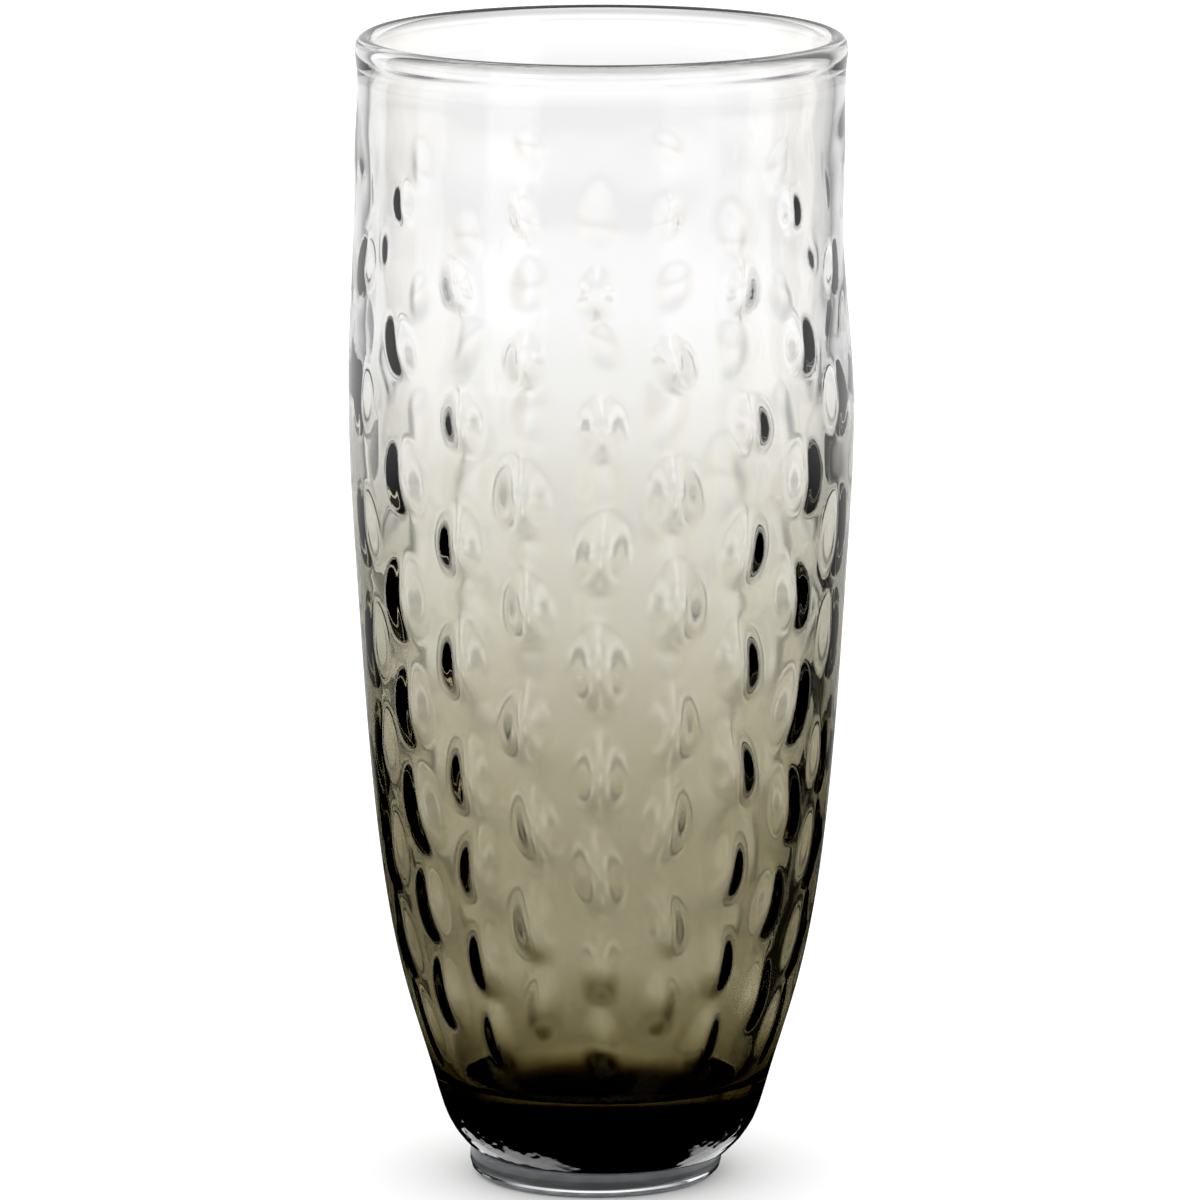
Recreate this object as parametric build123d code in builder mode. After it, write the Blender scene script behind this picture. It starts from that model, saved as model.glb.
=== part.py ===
"""Hand-blown glass cylinder vase, 300 mm tall: a smoke-grey cup cased in clear glass, with a lip and a foot."""
import math
import os

from build123d import *

os.makedirs("parts", exist_ok=True)

# Overall sizes (mm)
height = 300.0
foot_height = 7.0
lip_base = 289.0  # where the lip wrap is laid on the wall
smoke_top = 216.0  # where the smoke glass ends in the clear wall

# Outer wall of the casing, (radius, height): round base, long swell, waist below the lip
base_flat_radius = 33.6
outer_wall = [
    (base_flat_radius, foot_height),
    (38.1, 12.0),
    (43.6, 26.0),
    (50.8, 50.0),
    (58.6, 95.0),
    (63.5, 160.0),
    (65.2, 213.0),
    (62.9, 257.0),
    (62.8, lip_base),
]

# Boundary between the smoke glass and the clear casing
smoke_base = 10.2
smoke_wall = [
    (25.0, smoke_base),
    (35.0, 14.0),
    (39.9, 22.0),
    (42.6, 36.0),
    (50.6, 70.0),
    (58.4, 125.0),
    (61.9, 190.0),
    (62.1, smoke_top),
]

# Inside of the vase: round floor, smoke glass wall, then the clear wall above it
floor_height = 24.0
inside_wall = [
    (29.0, floor_height),
    (34.8, 26.3),
    (37.8, 31.8),
    (40.6, 41.0),
    (48.3, 70.0),
    (56.4, 125.0),
    (60.1, 190.0),
    (60.5, smoke_top),
]
neck_inner_radius = 59.3
neck_wall = [
    inside_wall[-1],
    (60.1, 240.0),
    (59.4, 262.0),
    (neck_inner_radius, lip_base),
]

# Lip wrap: a bead that stands a little proud of the wall on both sides
lip_outer_radius = 63.6
lip_inner_radius = 57.8
lip_crest_radius = 60.9
lip_belly = 4.8  # from the crest down to the widest ring

# Foot: a pad set slightly to one side of the axis, ground flat round a pontil hollow
foot_radius = 32.9
foot_offset = -1.5
foot_round = 3.6
foot_top_round = 0.8
pontil_radius = 21.0
pontil_depth = 1.4

# Dimples that the optic mould leaves in the inside wall: staggered rings, wider apart towards the top
dimple_columns = 10
dimple_rings = 16
first_ring = 45.0
ring_pitch = 10.6
ring_growth = 0.25
dimple_depth = 1.1
shallow_depth = 0.5
shallow_start = 150.0  # above this height the dimples get shallower
shallowing = 0.012  # loss of depth for each mm of height
dimple_long_radius = 52.0
dimple_cross_radius = 17.0
dimple_arc = 28.0  # degrees of the long radius


def inside_radius(z):
    """Radius of the inside wall, before the dimples, at a height."""
    for (low_radius, low), (high_radius, high) in zip(inside_line, inside_line[1:]):
        if low <= z <= high:
            return low_radius + (high_radius - low_radius) * (z - low) / (high - low)
    raise ValueError(f"no inside wall at {z}")


# The inside wall as short steps, to seat the dimples on it
inside_line = []
for curve, steps in ((Spline(*inside_wall), 200), (Spline(*neck_wall), 50)):
    points = [curve @ (step / steps) for step in range(steps + 1)]
    inside_line += [(point.X, point.Y) for point in points]

# The mould point that presses a dimple: a barrel-shaped pad, longer than wide, standing outwards
with BuildPart() as mould_point:
    with BuildSketch(Plane.XY.rotated((0, -dimple_arc / 2, 0))):
        with Locations((dimple_long_radius - dimple_cross_radius, 0)):
            Circle(dimple_cross_radius)
    revolve(axis=Axis.Y, revolution_arc=dimple_arc)
dimple = mould_point.part.moved(Location((-dimple_long_radius, 0, 0)))

dimple_places = []
for ring in range(dimple_rings):
    z = first_ring + ring_pitch * ring + ring_growth * ring**2
    depth = max(dimple_depth - shallowing * max(z - shallow_start, 0), shallow_depth)
    lean = math.degrees(math.atan((inside_radius(z + 2) - inside_radius(z - 2)) / 4))
    for column in range(dimple_columns):
        turn = 360 / dimple_columns * (column + 0.5 * (ring % 2)) - 90
        on_wall = Location((inside_radius(z) + depth, 0, z), (0, lean, 0))
        dimple_places.append(Location((0, 0, 0), (0, 0, turn)) * on_wall)

# Clear casing: everything outside the smoke glass, and the whole wall above it
with BuildPart() as clear_casing:
    with BuildSketch(Plane.XZ):
        with BuildLine():
            Spline(*outer_wall)
            Line(outer_wall[-1], neck_wall[-1])
            Spline(*neck_wall)
            Line(inside_wall[-1], smoke_wall[-1])
            Spline(*smoke_wall)
            Polyline(smoke_wall[0], (0, smoke_base), (0, foot_height), outer_wall[0])
        make_face()
    revolve(axis=Axis.Z)
    with Locations(*dimple_places):
        add(dimple, mode=Mode.SUBTRACT)
clear_casing.part.label = "clear_casing"

# Smoke cup, dimpled; the cut leaves loose slivers in the dimples at its top edge
with BuildPart() as dimpled_cup:
    with BuildSketch(Plane.XZ):
        with BuildLine():
            Spline(*smoke_wall)
            Line(smoke_wall[-1], inside_wall[-1])
            Spline(*inside_wall)
            Polyline(inside_wall[0], (0, floor_height), (0, smoke_base), smoke_wall[0])
        make_face()
    revolve(axis=Axis.Z)
    with Locations(*dimple_places):
        add(dimple, mode=Mode.SUBTRACT)

# Smoke core: the cup of dark glass without the slivers, thick in the base and thin at its top edge
with BuildPart() as smoke_core:
    add(dimpled_cup.part.solids().sort_by(SortBy.VOLUME)[-1])
smoke_core.part.label = "smoke_core"

# Lip wrap laid on the rim
with BuildPart() as rim_lip:
    with BuildSketch(Plane.XZ):
        with BuildLine():
            Line(neck_wall[-1], outer_wall[-1])
            Spline(
                outer_wall[-1],
                (lip_outer_radius, height - lip_belly),
                (lip_crest_radius, height),
                tangents=[(0.15, 1), (-1, 0)],
            )
            Spline(
                (lip_crest_radius, height),
                (lip_inner_radius, height - lip_belly),
                neck_wall[-1],
                tangents=[(-1, 0), (0.3, -1)],
            )
        make_face()
    revolve(axis=Axis.Z)
rim_lip.part.label = "rim_lip"

# Foot pad with its ground pontil hollow
with BuildPart() as foot:
    with Locations((foot_offset, 0)):
        Cylinder(foot_radius, foot_height, align=(Align.CENTER, Align.CENTER, Align.MIN))
    fillet(foot.edges().group_by(Axis.Z)[0], foot_round)
    fillet(foot.edges().group_by(Axis.Z)[-1], foot_top_round)
    pontil_sphere = (pontil_radius**2 + pontil_depth**2) / (2 * pontil_depth)
    with Locations((foot_offset, 0, pontil_depth - pontil_sphere)):
        Sphere(pontil_sphere, mode=Mode.SUBTRACT)
foot.part.label = "foot"

export_step(clear_casing.part, "parts/clear_casing.step")
export_step(smoke_core.part, "parts/smoke_core.step")
export_step(rim_lip.part, "parts/rim_lip.step")
export_step(foot.part, "parts/foot.step")
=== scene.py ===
"""Looks for the glass cylinder vase: clear cased wall with moulded dimples, smoke-grey core, lip and foot."""
import math

import bpy
import numpy as np
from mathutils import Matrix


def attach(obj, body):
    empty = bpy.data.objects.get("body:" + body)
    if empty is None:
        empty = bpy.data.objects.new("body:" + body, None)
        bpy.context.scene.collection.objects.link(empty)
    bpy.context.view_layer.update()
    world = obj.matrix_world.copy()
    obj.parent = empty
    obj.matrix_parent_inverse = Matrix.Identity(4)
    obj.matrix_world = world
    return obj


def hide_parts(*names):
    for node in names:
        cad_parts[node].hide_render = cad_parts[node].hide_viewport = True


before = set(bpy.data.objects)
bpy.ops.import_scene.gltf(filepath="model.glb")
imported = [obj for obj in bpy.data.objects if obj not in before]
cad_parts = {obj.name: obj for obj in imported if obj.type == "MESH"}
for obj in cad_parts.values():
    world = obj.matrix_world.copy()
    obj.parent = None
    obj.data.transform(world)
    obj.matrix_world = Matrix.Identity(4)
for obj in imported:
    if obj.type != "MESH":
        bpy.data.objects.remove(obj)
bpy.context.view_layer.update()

MM = 0.001

# ---------------------------------------------------------------- driving sizes (mm)
FOOT_HEIGHT = 7.0
FLOOR_HEIGHT = 24.0  # inside floor
LIP_BASE = 289.0
LIP_CREST = (60.9, 300.0)
SMOKE_BASE = 10.2
SMOKE_TOP = 216.0
JOIN_RADIUS = 20.0  # a ring on the wall's underside, inside the foot

# Profiles as (radius, height), from the bottom up
OUTER_WALL = [
    (33.6, FOOT_HEIGHT), (38.1, 12.0), (43.6, 26.0), (50.8, 50.0), (58.6, 95.0),
    (63.5, 160.0), (65.2, 213.0), (63.0, 256.0), (63.1, 274.0), (62.8, LIP_BASE),
]
INSIDE_WALL = [
    (29.0, FLOOR_HEIGHT), (34.8, 26.3), (37.8, 31.8), (40.6, 41.0), (48.3, 70.0), (56.4, 125.0),
    (60.1, 190.0), (60.5, SMOKE_TOP), (60.1, 240.0), (59.4, 262.0), (59.3, LIP_BASE),
]
OUTER_LIP = [(63.2, 294.0), (63.4, 296.2), (62.8, 298.8), LIP_CREST]
INSIDE_LIP = [(58.7, 294.0), (58.3, 296.2), (58.9, 298.8), LIP_CREST]
SMOKE_UNDERSIDE = [
    (0, SMOKE_BASE), (12, SMOKE_BASE), (25.0, SMOKE_BASE), (31.0, 11.6), (35.0, 14.0), (38.0, 17.5),
    (39.9, 21.5), (40.8, 24.5),
]
FOOT_SHIFT = -1.5  # the foot sits a little to one side
FOOT = [
    (0, 1.4), (7, 1.25), (14, 0.8), (21, 0.0), (25, 0), (29.3, 0.0), (31.1, 0.5), (32.4, 1.8),
    (32.9, 3.6), (32.9, 6.2), (32.6, 6.8), (32.1, FOOT_HEIGHT), (0, FOOT_HEIGHT),
]

# Thickness of the smoke glass, by height
SMOKE_Z = [24, 28, 32, 37, 42, 47, 59, 70, 99, 125, 152, 180, 200, SMOKE_TOP]
SMOKE_T = [9.0, 7.3, 5.8, 4.2, 3.0, 2.8, 3.0, 2.9, 2.4, 1.68, 0.97, 0.60, 0.30, 0.02]
SKIN = 0.04  # clear glass between the smoke glass and the inside, so that no two faces coincide

# Dimples: staggered rows, ten to a row, the rows closer together towards the base
COLUMNS = 10
ROWS = 16
FIRST_ROW = 45.0
ROW_PITCH = 10.6
ROW_GROWTH = 0.25
PIT_SLOPE = 0.36  # steepest flank
PIT_Z = [54, 100, 170, 215, 262]  # heights for the three lists below
PIT_TALL = [10.5, 12.0, 12.0, 9.0, 6.0]  # half height
PIT_WIDE = [0.205, 0.22, 0.235, 0.19, 0.13]  # half width, as a share of the columns' spacing
PIT_DEEP = [1.0, 1.0, 0.96, 0.92, 0.8]

SIDES = 360  # faces round the vase
ANGLES = np.arange(SIDES) * 2 * math.pi / SIDES
EDGE = 0.02  # the row of faces next to a join is this tall, so the smooth shading stays true up to it
FLOOR_EDGE = 0.0275  # metres: faces of the inside wall below this that look up are the inside floor
GROUND_EDGE = 0.0036  # metres: faces of the foot below this that look down are ground


# ---------------------------------------------------------------- curves and meshes
def spline(points, count):
    """Points evenly spaced in parameter along a natural cubic spline through (radius, height) points."""
    p = np.array(points, float)
    t = np.concatenate([[0], np.cumsum(np.hypot(*np.diff(p, axis=0).T))])
    h = np.diff(t)
    n = len(p)
    system = np.eye(n)
    right = np.zeros((n, 2))
    for i in range(1, n - 1):
        system[i, i - 1:i + 2] = h[i - 1], 2 * (h[i - 1] + h[i]), h[i]
        right[i] = 6 * ((p[i + 1] - p[i]) / h[i] - (p[i] - p[i - 1]) / h[i - 1])
    m = np.linalg.solve(system, right)
    s = np.linspace(0, t[-1], count)
    k = np.clip(np.searchsorted(t, s, side="right") - 1, 0, n - 2)
    a, b, w = (t[k + 1] - s)[:, None], (s - t[k])[:, None], h[k][:, None]
    return (m[k] * a**3 + m[k + 1] * b**3) / (6 * w) + (p[k] / w - m[k] * w / 6) * a \
        + (p[k + 1] / w - m[k + 1] * w / 6) * b


def cut(curve, top):
    """The part of a curve from its start up to a height, and the rest."""
    count = np.argmax(curve[:, 1] > top)
    low, high = curve[count - 1], curve[count]
    meeting = low + (high - low) * (top - low[1]) / (high[1] - low[1])
    return np.vstack([curve[:count], meeting]), np.vstack([meeting, curve[count:]])


def with_edge(curve):
    """A curve with a point added just past its start."""
    step = curve[1] - curve[0]
    return np.insert(curve, 1, curve[0] + step * min(EDGE / abs(step[1]), 0.5), axis=0)


def lean(z):
    """Sideways shift of the body, which was never quite true."""
    return np.interp(z, [205, 225, 245, 268, 286], [0, -0.5, -0.85, -0.5, 0])


def ring(radius, z, shift=None):
    """A ring of points: one radius, or one for each side. Radius 0 is a single point on the axis."""
    shift = lean(z) if shift is None else shift
    if np.isscalar(radius) and radius == 0:
        return [(shift, 0.0, z)]
    radius = np.broadcast_to(radius, SIDES)
    return list(zip(radius * np.cos(ANGLES) + shift, radius * np.sin(ANGLES), np.full(SIDES, z)))


def make(name, rings, materials, join=()):
    """A closed object turned from rings in mm; the bands numbered in join get the second material."""
    verts, faces, slots, starts = [], [], [], []
    for points in rings:
        starts.append(len(verts))
        verts += points
    for band, (low, high) in enumerate(zip(rings, rings[1:])):
        a, b, n = starts[band], starts[band + 1], max(len(low), len(high))
        for i in range(n):
            j = (i + 1) % n
            if len(low) == 1:
                faces.append((a, b + j, b + i))
            elif len(high) == 1:
                faces.append((a + i, a + j, b))
            else:
                faces.append((a + i, a + j, b + j, b + i))
            slots.append(1 if band in join else 0)
    mesh = bpy.data.meshes.new(name)
    mesh.from_pydata([tuple(float(c) * MM for c in v) for v in verts], [], faces)
    for material in materials:
        mesh.materials.append(material)
    mesh.polygons.foreach_set("material_index", slots)
    mesh.polygons.foreach_set("use_smooth", [slot != 1 for slot in slots])
    piece = bpy.data.objects.new(name, mesh)
    bpy.context.scene.collection.objects.link(piece)
    return piece


# ---------------------------------------------------------------- materials
def new_material(name):
    """A material, its nodes and its Principled shader."""
    material = bpy.data.materials.new(name)
    material.use_nodes = True
    return material, material.node_tree, material.node_tree.nodes["Principled BSDF"]


def glass(name, color=(0.985, 0.985, 0.985), ior=1.5, roughness=0.0):
    """A glass material. With an index of 1 light goes straight on and nothing is mirrored."""
    material, _, shader = new_material(name)
    shader.inputs["Base Color"].default_value = (*color, 1)
    shader.inputs["Roughness"].default_value = roughness
    shader.inputs["IOR"].default_value = ior
    shader.inputs["Transmission Weight"].default_value = 1.0
    return material


CLEAR = glass("clear_glass")

# where two pieces of glass are fused, light passes as if nothing were there
JOIN, join_tree, _ = new_material("glass_join")
join_tree.nodes.clear()
join_tree.links.new(join_tree.nodes.new("ShaderNodeBsdfTransparent").outputs[0],
                    join_tree.nodes.new("ShaderNodeOutputMaterial").inputs["Surface"])

# the smoke glass lies inside the wall: no surface of its own, only its colour, deeper where it is thicker
SMOKE = glass("smoke_glass", color=(1, 1, 1), ior=1.0)
absorption = SMOKE.node_tree.nodes.new("ShaderNodeVolumeAbsorption")
absorption.inputs["Color"].default_value = (0.40, 0.345, 0.10, 1)
absorption.inputs["Density"].default_value = 330.0
SMOKE.node_tree.links.new(absorption.outputs["Volume"],
                          SMOKE.node_tree.nodes["Material Output"].inputs["Volume"])

# the inside floor lies in the black depth of the base and mirrors nothing
INNER_FLOOR = glass("inner_floor", ior=1.0)

# the foot is ground flat underneath: a matt face with rings from the grinding, tinted dark to pale blue; the
# blue tint is painted light, standing in for the light from the table that comes up through the foot
GROUND = glass("ground_glass", roughness=0.6)
ground_nodes, ground_links = GROUND.node_tree.nodes, GROUND.node_tree.links
place = ground_nodes.new("ShaderNodeTexCoord")
grinding = ground_nodes.new("ShaderNodeTexWave")
grinding.wave_type = "RINGS"
grinding.rings_direction = "Z"
grinding.inputs["Scale"].default_value = 90.0
grinding.inputs["Distortion"].default_value = 6.0
grinding.inputs["Detail"].default_value = 4.0
grinding.inputs["Detail Scale"].default_value = 1.5
# painted light: the ramp's dark and pale blues stand in for light from beneath the foot; the grinding rings
# only vary it
grinding_rings_and_painted_tint = ground_nodes.new("ShaderNodeValToRGB")
grinding_rings_and_painted_tint.color_ramp.elements[0].color = (0.20, 0.29, 0.42, 1)
grinding_rings_and_painted_tint.color_ramp.elements[1].color = (0.74, 0.88, 1.0, 1)
ground_links.new(place.outputs["Object"], grinding.inputs["Vector"])
ground_links.new(grinding.outputs["Fac"], grinding_rings_and_painted_tint.inputs["Fac"])
ground_links.new(grinding_rings_and_painted_tint.outputs["Color"], ground_nodes["Principled BSDF"].inputs["Base Color"])

# ---------------------------------------------------------------- dimples
row = np.arange(ROWS)
ROW_HEIGHT = FIRST_ROW + ROW_PITCH * row + ROW_GROWTH * row**2
ROW_GAP = ROW_PITCH + 2 * ROW_GROWTH * row
rng = np.random.default_rng(7)
JITTER = rng.normal(0, 1, (ROWS, COLUMNS, 4))  # sideways, up, size and tilt of each dimple
# Faint waves in the inside wall: turns round the vase, height of one wave, phase and depth
WAVES = [(turns, rng.choice([-1, 1]) * rng.uniform(14, 60), rng.uniform(0, 6.28), 0.20 / turns)
         for turns in (3, 5, 8, 11, 14, 19, 23, 29)]


def pits(radius, z):
    """Depth of the dimples and waves in the inside wall at a height, for each side."""
    depth = np.zeros(SIDES)
    pitch = 2 * math.pi / COLUMNS
    for k in range(ROWS):
        if abs(z - ROW_HEIGHT[k]) > 1.3 * ROW_GAP[k]:
            continue
        tall, wide, deep = (np.interp(ROW_HEIGHT[k], PIT_Z, sizes)
                            for sizes in (PIT_TALL, PIT_WIDE, PIT_DEEP))
        for column in range(COLUMNS):
            side, up, size, tilt = JITTER[k, column]
            centre = -math.pi / 2 + pitch * (column + (0.5 if k % 2 else 0)) + 0.015 * side
            v = (z - ROW_HEIGHT[k] - 0.8 * up) / (tall * (1 + 0.05 * size))
            if abs(v) >= 1:
                continue
            off = (ANGLES - centre - 0.02 * tilt * v + math.pi) % (2 * math.pi) - math.pi
            half = pitch * wide * (1 + 0.05 * size)
            u = np.minimum(np.abs(off) / (half * (1 - v * v)**0.35 * (1 - 0.12 * v)), 1)
            middle = PIT_SLOPE * 2 * half * radius / math.pi * deep
            depth += middle * (1 - v * v)**1.4 * (1 - 0.25 * v) * (0.5 + 0.5 * np.cos(np.pi * u))
    fade = np.interp(z, [26, 36, 270, 286], [0, 1, 1, 0])
    for turns, wave, phase, size in WAVES:
        depth = depth + fade * size * np.sin(turns * ANGLES + 2 * math.pi * z / wave + phase)
    return depth


def unevenness(z):
    """Hand-made unevenness of the outside for each side, strongest where the body curves under."""
    size = np.interp(z, [7, 9, 18, 40, 60], [0, 0.06, 0.03, 0.005, 0])
    return size * sum(np.sin(turns * ANGLES + phase + z * pitch) for turns, phase, pitch in
                      ((9, 1, 0.9), (17, 4, -1.7), (31, 2, 2.4), (47, 5, -3.0))) / 2


# ---------------------------------------------------------------- pieces
outer_curve, outer_lip = cut(spline(OUTER_WALL + OUTER_LIP, 200), LIP_BASE)
inside_curve, inside_lip = cut(spline(INSIDE_WALL + INSIDE_LIP, 520), LIP_BASE)


def inside_radius(z):
    return np.interp(z, inside_curve[:, 1], inside_curve[:, 0])


def outer_radius(z):
    return np.interp(z, outer_curve[:, 1], outer_curve[:, 0])


def floor_rings(z):
    """The flat of the inside floor, from its rim to the axis."""
    return [ring(20.0, z), ring(8.0, z), ring(0, z)]


outer_rows = np.concatenate([np.arange(FOOT_HEIGHT, 20, 0.5), np.arange(20, 285, 3.4),
                             [286.0, LIP_BASE - EDGE, LIP_BASE]])
inside_rows = np.concatenate([[24, 24.3, 24.8, 25.6, 26.6, 27.8], np.arange(29, 60, 1.25),
                              np.arange(60.4, LIP_BASE - 0.8, 1.7), [LIP_BASE - EDGE, LIP_BASE]])

rings = [ring(0, FOOT_HEIGHT), ring(JOIN_RADIUS, FOOT_HEIGHT)]
rings += [ring(outer_radius(z) + unevenness(z), z) for z in outer_rows]
top_band = len(rings) - 1
rings += [ring(inside_radius(z) + pits(inside_radius(z), z), z) for z in inside_rows[::-1]]
rings += floor_rings(FLOOR_HEIGHT)
wall = make("vase_wall", rings, [CLEAR, JOIN, INNER_FLOOR], join=[0, 1, top_band])
for face in wall.data.polygons:
    if face.center.z < FLOOR_EDGE and face.normal.z > 0.3:
        face.material_index = 2

lip_profile = np.vstack([with_edge(outer_lip), with_edge(inside_lip)[-2::-1]])
rings = [ring(r, z) for r, z in lip_profile] + [ring(lip_profile[0, 0], LIP_BASE)]
lip = make("lip", rings, [CLEAR, JOIN], join=[len(rings) - 2])

rings = [ring(r, z, shift=FOOT_SHIFT) for r, z in FOOT]
foot = make("foot_pad", rings, [CLEAR, JOIN, GROUND], join=[len(rings) - 2])
for face in foot.data.polygons:
    if face.center.z < GROUND_EDGE and face.normal.z < -0.35:
        face.material_index = 2

rings = [ring(r, z) for r, z in SMOKE_UNDERSIDE]
smoke_rows = inside_rows[inside_rows <= SMOKE_TOP]
for z in smoke_rows[smoke_rows > 25.5]:
    inside = inside_radius(z) + pits(inside_radius(z), z)
    share = np.interp(z, SMOKE_Z, SMOKE_T) / (outer_radius(z) - inside_radius(z))
    rings.append(ring(inside + SKIN + share * (outer_radius(z) - inside), z))
for z in smoke_rows[::-1]:
    inside = inside_radius(z) + pits(inside_radius(z), z)
    rings.append(ring(inside + SKIN, z - (SKIN if z < 29 else 0)))
rings += floor_rings(FLOOR_HEIGHT - SKIN)
smoke = make("smoke_layer", rings, [SMOKE])

for piece, cad_node, slot in (
    (wall, "clear_casing", "clear_glass"),
    (lip, "rim_lip", "clear_glass"),
    (foot, "foot", "clear_glass"),
    (smoke, "smoke_core", "smoke_glass"),
):
    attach(piece, "root")
    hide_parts(cad_node)

# ---------------------------------------------------------------- studio
# The brightness of the surroundings in each direction, as (where, brightness). Bearings are compass
# bearings in degrees from straight behind the vase; steepness is the sine of the angle above level.
BRIGHT = 1.11
PEAK = 1.06  # brightness that a ramp holds as full white
# Light bent by the glass: a bright backdrop between dark flags, and a bright opening behind each of three
# other sides from which the vase is seen
BENT_ROUND = [
    (-180, 0.02), (-100, 0.02), (-98, 1), (-82, 1), (-80, 0.02), (-55, 0.02), (-53, 1), (-37, 1), (-35, 0.1),
    (-32, 0.3), (-25, 0.65), (-17, 0.72), (-13, 0.93), (-9, 0.96), (-7, 1), (7, 1), (9, 0.96), (13, 0.93),
    (17, 0.72), (25, 0.65), (33, 0.25), (38, 0.03), (54, 0.02), (59, 0.3), (64, 0.02), (119, 0.02), (123, 1),
    (147, 1), (151, 0.02), (180, 0.02),
]
BENT_DOWN = [
    (-1, 1.05), (-0.8, 0.75), (-0.5, 0.65), (-0.38, 0.74), (-0.30, 0.88), (-0.25, 0.97), (-0.187, 1.0),
    (-0.16, 0.985), (-0.145, 0.95), (-0.13, 0.90), (-0.11, 0.92), (-0.09, 0.97), (0, 1.02), (1, 1.05),
]
# ... with light from straight above and below whatever the bearing
CEILING = [(-1, 1.05), (-0.92, 0.9), (-0.88, 0.0), (0.2, 0.0), (0.5, 0.9), (1, 0.9)]
# ... and its colour, by bearing
BENT_TINT = [
    (-180, (1, 1, 1)), (-24, (1, 1, 1)), (-14, (1, 0.99, 0.96)), (-6, (1, 0.985, 0.945)), (-2.5, (1, 1, 1)),
    (2.5, (1, 1, 1)), (6, (1, 0.985, 0.945)), (14, (1, 0.99, 0.96)), (24, (1, 1, 1)), (180, (1, 1, 1)),
]
# Light mirrored by the outside of the glass, by steepness
MIRRORED_DOWN = [(-1, 0.0), (-0.24, 0.0), (-0.16, 0.9), (0.1, 1.0), (1, 1.0)]
MIRRORED_TABLE = 1.9
PLAIN = 1.6  # everything else

world = bpy.data.worlds.new("studio")
bpy.context.scene.world = world
world.use_nodes = True
tree = world.node_tree
tree.nodes.clear()


def add_node(kind, **settings):
    made = tree.nodes.new(kind)
    for name, value in settings.items():
        setattr(made, name, value)
    return made


def connect(source, socket):
    """Put a number or another node's output into a socket."""
    if isinstance(source, (int, float)):
        socket.default_value = source
    else:
        tree.links.new(source, socket)


def ramp(value, low, high, stops):
    """A socket that turns a value between low and high into a colour."""
    scale = add_node("ShaderNodeMapRange")
    scale.inputs["From Min"].default_value = low
    scale.inputs["From Max"].default_value = high
    tree.links.new(value, scale.inputs["Value"])
    made = add_node("ShaderNodeValToRGB")
    elements = made.color_ramp.elements
    for number, (at, color) in enumerate(stops):
        element = elements[number] if number < 2 else elements.new(1.0)
        element.position = (at - low) / (high - low)
        element.color = (*color, 1)
    tree.links.new(scale.outputs["Result"], made.inputs["Fac"])
    return made.outputs["Color"]


def grey(stops):
    """Stops with a brightness as stops with a colour; the brightest must not pass white."""
    return [(at, (brightness / PEAK,) * 3) for at, brightness in stops]


def calc(operation, *sources):
    """A socket with the result of an arithmetic operation on numbers or sockets."""
    made = add_node("ShaderNodeMath", operation=operation)
    for number, source in enumerate(sources):
        connect(source, made.inputs[number])
    return made.outputs[0]


def pick(condition, yes, no):
    """A socket with one value or the other."""
    mix = add_node("ShaderNodeMix", data_type="FLOAT")
    tree.links.new(condition, mix.inputs["Factor"])
    connect(no, mix.inputs[2])
    connect(yes, mix.inputs[3])
    return mix.outputs[0]


way = add_node("ShaderNodeLightPath")
direction = add_node("ShaderNodeTexCoord").outputs["Generated"]
split = add_node("ShaderNodeSeparateXYZ")
tree.links.new(direction, split.inputs[0])
steepness = split.outputs["Z"]
bearing = calc("MULTIPLY", calc("ARCTAN2", split.outputs["X"], split.outputs["Y"]), 180 / math.pi)

bent = calc("MAXIMUM", ramp(bearing, -180, 180, grey(BENT_ROUND)), ramp(steepness, -1, 1, grey(CEILING)))
bent = calc("MULTIPLY", bent, ramp(steepness, -1, 1, grey(BENT_DOWN)))
bent = calc("MULTIPLY", bent, PEAK * PEAK * BRIGHT)

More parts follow.
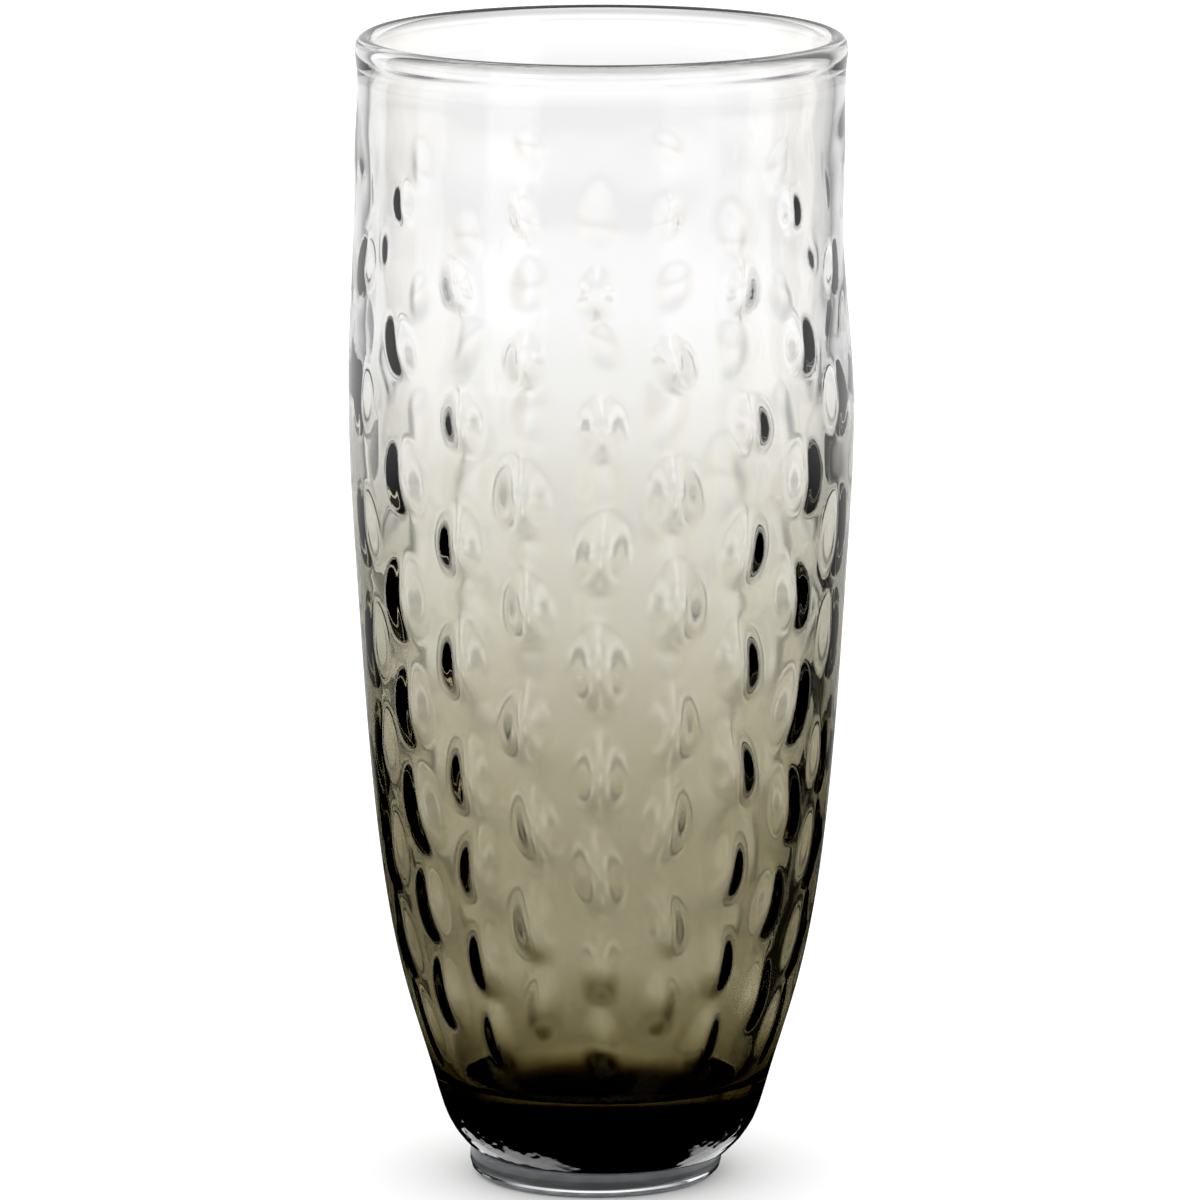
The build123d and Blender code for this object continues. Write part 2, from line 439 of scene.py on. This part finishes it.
# the pale table shows in the underside of the body, to the left and right of the dark in front;
# its edges are ragged and reach a wider bearing the steeper they lie
ragged = add_node("ShaderNodeTexNoise")
tree.links.new(direction, ragged.inputs["Vector"])
ragged.inputs["Scale"].default_value = 9.0
ragged.inputs["Detail"].default_value = 3.0
wander = calc("MULTIPLY", calc("SUBTRACT", ragged.outputs[0], 0.5), 60)
reach = calc("ADD", calc("MULTIPLY", calc("ADD", steepness, 0.265), -120), wander)
beside = calc("ADD", calc("DIVIDE", calc("SUBTRACT", reach, calc("ABSOLUTE", bearing)), 4), 0.5)
front_edge = calc("SUBTRACT", calc("MULTIPLY", calc("LESS_THAN", bearing, 0.0), -0.155), 0.80)
before = calc("DIVIDE", calc("SUBTRACT", steepness, front_edge), 0.02)
deep = calc("DIVIDE", calc("SUBTRACT", -0.45, steepness), 0.02)
table = calc("MINIMUM", calc("MINIMUM", beside, before), calc("MINIMUM", deep, 1.0))
mirrored = ramp(steepness, -1, 1, grey(MIRRORED_DOWN))
mirrored = calc("MAXIMUM", mirrored, calc("MULTIPLY", table, MIRRORED_TABLE))

tint = add_node("ShaderNodeMix", data_type="RGBA")
tree.links.new(way.outputs["Is Transmission Ray"], tint.inputs["Factor"])
tint.inputs[6].default_value = (1, 1, 1, 1)
tree.links.new(ramp(bearing, -180, 180, BENT_TINT), tint.inputs[7])

background = add_node("ShaderNodeBackground")
tree.links.new(tint.outputs[2], background.inputs["Color"])
light = pick(way.outputs["Is Glossy Ray"], mirrored, PLAIN)
light = pick(way.outputs["Is Transmission Ray"], bent, light)
tree.links.new(light, background.inputs["Strength"])
tree.links.new(background.outputs[0], add_node("ShaderNodeOutputWorld").inputs["Surface"])

floor_mesh = bpy.data.meshes.new("floor")
floor_mesh.from_pydata([(-12, -12, 0), (12, -12, 0), (12, 12, 0), (-12, 12, 0)], [], [(0, 1, 2, 3)])
floor = bpy.data.objects.new("floor", floor_mesh)
bpy.context.scene.collection.objects.link(floor)
paper, _, paper_shader = new_material("floor")
paper_shader.inputs["Base Color"].default_value = (0.88, 0.88, 0.88, 1)
paper_shader.inputs["Roughness"].default_value = 0.9
paper_shader.inputs["Specular IOR Level"].default_value = 0.1
floor_mesh.materials.append(paper)
floor.visible_transmission = False
floor.visible_glossy = False

# ---------------------------------------------------------------- camera
FRAME = 1200  # width of the frame, in the units of the two values below
camera_data = bpy.data.cameras.new("camera")
camera = bpy.data.objects.new("camera", camera_data)
bpy.context.scene.collection.objects.link(camera)
camera_data.sensor_width = 36.0
camera_data.lens = camera_data.sensor_width * 9488 / FRAME
camera_data.shift_x = -1.5 / FRAME
camera_data.clip_end = 60
camera.location = (0, -2.420, 0.612)
camera.rotation_euler = (math.radians(90 - 10.76), 0, 0)
bpy.context.scene.camera = camera
bpy.context.scene.view_settings.view_transform = "Standard"
